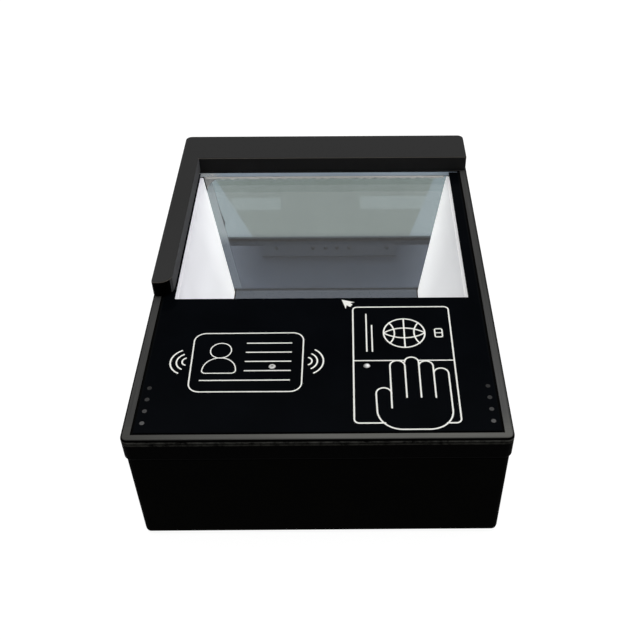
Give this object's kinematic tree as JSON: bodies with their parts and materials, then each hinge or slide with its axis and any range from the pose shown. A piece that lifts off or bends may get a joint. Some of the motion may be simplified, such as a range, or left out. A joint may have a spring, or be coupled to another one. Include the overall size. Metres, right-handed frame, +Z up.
{
  "type": "desktop passport reader",
  "caption": "Box-shaped desktop document reader: glass reading bed, L-shaped corner guide, printed card panel, mirror, lit chamber, camera, and rear sockets with a rocker switch.",
  "frame": {"origin": "on the counter, under the middle of the case, at the bottom of the rubber feet", "axes": "+X to the user's right, +Y away from the user towards the rear sockets, +Z up"},
  "size_m": [0.1492, 0.2036, 0.0705],
  "materials": {
    "ribbon_cable_film": "white film",
    "black_zinc_screw_steel": "black zinc",
    "black_abs_fine_spark_texture": "fine spark texture",
    "black_adhesive_film": "matt film",
    "green_glass_epoxy_board": "solder mask",
    "galvanised_steel_sheet": "bright zinc",
    "machined_brass": "machined",
    "tempered_float_glass": "clear, front panel printed black",
    "opal_acrylic_sheet": "translucent white, softly lit",
    "black_abs_satin": "satin",
    "black_moulded_rubber": "matt",
    "grey_abs_moulded": "matt moulded",
    "black_anodised_aluminium": "black anodised",
    "clear_moulded_acrylic": "clear polished",
    "dark_coated_mirror": "first-surface dark mirror",
    "nickel_plated_steel": "satin nickel"
  },
  "bodies": {
    "housing": {"antenna_ribbon": "ribbon_cable_film", "antenna_screw_back_left": "black_zinc_screw_steel", "antenna_screw_back_right": "black_zinc_screw_steel", "antenna_screw_front_left": "black_zinc_screw_steel", "antenna_screw_front_right": "black_zinc_screw_steel", "base_housing": "black_abs_fine_spark_texture", "board_screw_1": "black_zinc_screw_steel", "board_screw_2": "black_zinc_screw_steel", "board_screw_3": "black_zinc_screw_steel", "board_screw_4": "black_zinc_screw_steel", "bonding_film": "black_adhesive_film", "buzzer": "black_abs_fine_spark_texture", "camera_board": "green_glass_epoxy_board", "camera_bracket": "galvanised_steel_sheet", "camera_ribbon": "ribbon_cable_film", "camera_screw_left": "machined_brass", "camera_screw_right": "machined_brass", "case_screw_back_left": "black_zinc_screw_steel", "case_screw_back_right": "black_zinc_screw_steel", "case_screw_front_left": "black_zinc_screw_steel", "case_screw_front_right": "black_zinc_screw_steel", "cover_glass": "tempered_float_glass", "dc_jack": "black_abs_fine_spark_texture", "diffuser_wall_left": "opal_acrylic_sheet", "diffuser_wall_right": "opal_acrylic_sheet", "document_guide": "black_abs_satin", "edge_seal": "black_moulded_rubber", "foot_back_left": "black_moulded_rubber", "foot_back_right": "black_moulded_rubber", "foot_front_left": "black_moulded_rubber", "foot_front_right": "black_moulded_rubber", "front_bulkhead": "grey_abs_moulded", "guide_screw_1": "black_zinc_screw_steel", "guide_screw_2": "black_zinc_screw_steel", "guide_screw_3": "black_zinc_screw_steel", "heatsink": "black_anodised_aluminium", "indicator_board_left": "green_glass_epoxy_board", "indicator_board_right": "green_glass_epoxy_board", "led_bar_front": "green_glass_epoxy_board", "led_bar_left": "green_glass_epoxy_board", "led_bar_right": "green_glass_epoxy_board", "lens_barrel": "black_abs_fine_spark_texture", "lens_glass": "tempered_float_glass", "lens_mount": "black_abs_fine_spark_texture", "light_pipe_left": "clear_moulded_acrylic", "light_pipe_right": "clear_moulded_acrylic", "main_board": "green_glass_epoxy_board", "mirror": "dark_coated_mirror", "mirror_bracket": "galvanised_steel_sheet", "mirror_screw_left": "black_zinc_screw_steel", "mirror_screw_right": "black_zinc_screw_steel", "power_switch_body": "black_abs_fine_spark_texture", "rfid_antenna_board": "green_glass_epoxy_board", "rfid_module": "nickel_plated_steel", "sensor_emitter": "clear_moulded_acrylic", "sensor_receiver": "clear_moulded_acrylic", "top_bezel": "black_abs_satin", "usb_socket": "nickel_plated_steel"},
    "rocker": {"power_rocker": "black_abs_fine_spark_texture"}
  },
  "joints": [
    {"name": "power_rocker_tilt", "type": "hinge", "parent": "housing", "child": "rocker", "pos_m": [0.038, 0.0946, 0.0305], "axis": [1, 0, 0], "range_deg": [0, 20]}
  ]
}
